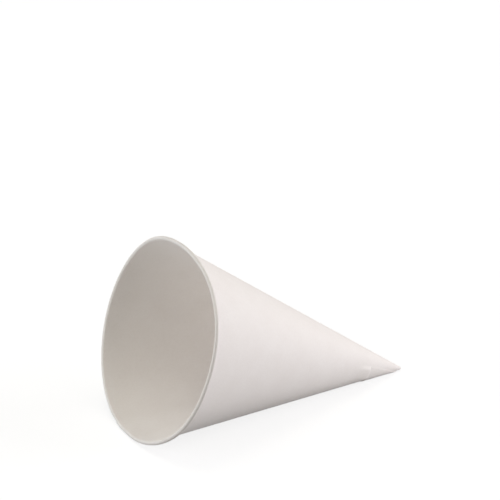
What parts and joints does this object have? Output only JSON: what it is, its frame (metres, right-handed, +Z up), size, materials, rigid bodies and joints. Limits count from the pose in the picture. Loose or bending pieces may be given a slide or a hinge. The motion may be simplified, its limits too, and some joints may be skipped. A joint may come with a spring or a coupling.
{
  "type": "cone paper cup",
  "caption": "Cone-shaped disposable drinking cup of plain white paper, with a rolled rim, a lap seam and a tucked tip, lying on its side.",
  "frame": {"origin": "centre of the bounding box at the floor that the cup lies on", "axes": "+Z up, +X along the floor from the mouth to the tip, +Y across the mouth"},
  "size_m": [0.1048, 0.072, 0.0671],
  "materials": {
    "white_paper": "matt"
  },
  "bodies": {
    "root": {"cone_cup": "white_paper"}
  },
  "joints": []
}
